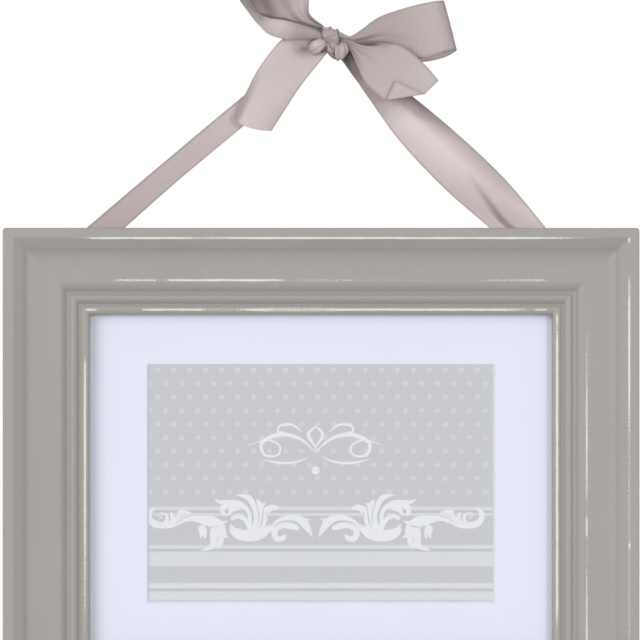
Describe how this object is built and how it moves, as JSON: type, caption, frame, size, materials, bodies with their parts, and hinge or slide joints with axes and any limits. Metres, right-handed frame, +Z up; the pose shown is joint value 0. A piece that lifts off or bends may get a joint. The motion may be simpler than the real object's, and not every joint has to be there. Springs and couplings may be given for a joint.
{
  "type": "picture frame",
  "caption": "Landscape wooden picture frame with a painted mitred moulding, glass, bevelled mat and backing board on turn buttons, hung on a satin ribbon tied in a bow.",
  "frame": {"origin": "hang point: where a nail carries the ribbon just under the knot, in the plane of the frame's back", "axes": "+Z up, +X to the viewer's right, the front faces -Y and the back faces the wall at +Y"},
  "size_m": [0.313, 0.0284, 0.3859],
  "materials": {
    "painted_wood": "satin taupe paint, worn to a cream undercoat along the arrises",
    "glass": "clear polished",
    "mat": "matt, fine grained",
    "print": "silk print",
    "hardboard": "raw pressed fibre",
    "steel": "bright zinc",
    "ribbon": "ribbed satin"
  },
  "bodies": {
    "ribbon": {"ribbon_leg_left": "ribbon", "ribbon_leg_right": "ribbon", "bow_loop_left": "ribbon", "bow_loop_right": "ribbon", "bow_tail_left": "ribbon", "bow_tail_right": "ribbon", "bow_knot": "ribbon"},
    "frame": {"rail_top": "painted_wood", "rail_right": "painted_wood", "rail_bottom": "painted_wood", "rail_left": "painted_wood", "glass_pane": "glass", "mat_board": "mat", "photo_print": "print", "backing_board": "hardboard", "v_nail_top_right": "steel", "v_nail_bottom_right": "steel", "v_nail_bottom_left": "steel", "v_nail_top_left": "steel", "button_screw_top_left": "steel", "button_screw_top_right": "steel", "button_screw_bottom_left": "steel", "button_screw_bottom_right": "steel", "ribbon_end_left": "ribbon", "ribbon_end_right": "ribbon", "staple_left_1": "steel", "staple_left_2": "steel", "staple_right_1": "steel", "staple_right_2": "steel"},
    "button_top_left": {"turn_button_top_left": "steel"},
    "button_top_right": {"turn_button_top_right": "steel"},
    "button_bottom_left": {"turn_button_bottom_left": "steel"},
    "button_bottom_right": {"turn_button_bottom_right": "steel"}
  },
  "joints": [
    {"name": "frame_swing", "type": "hinge", "parent": "ribbon", "child": "frame", "pos_m": [-0.009, 0.0005, -0.0817], "axis": [-1, 0, 0], "range_deg": [0, 60]},
    {"name": "button_turn_top_left", "type": "hinge", "parent": "frame", "child": "button_top_left", "pos_m": [-0.069, 0, -0.109], "axis": [0, 1, 0], "continuous": true},
    {"name": "button_turn_top_right", "type": "hinge", "parent": "frame", "child": "button_top_right", "pos_m": [0.051, 0, -0.109], "axis": [0, 1, 0], "continuous": true},
    {"name": "button_turn_bottom_left", "type": "hinge", "parent": "frame", "child": "button_bottom_left", "pos_m": [-0.069, 0, -0.307], "axis": [0, 1, 0], "continuous": true},
    {"name": "button_turn_bottom_right", "type": "hinge", "parent": "frame", "child": "button_bottom_right", "pos_m": [0.051, 0, -0.307], "axis": [0, 1, 0], "continuous": true}
  ]
}
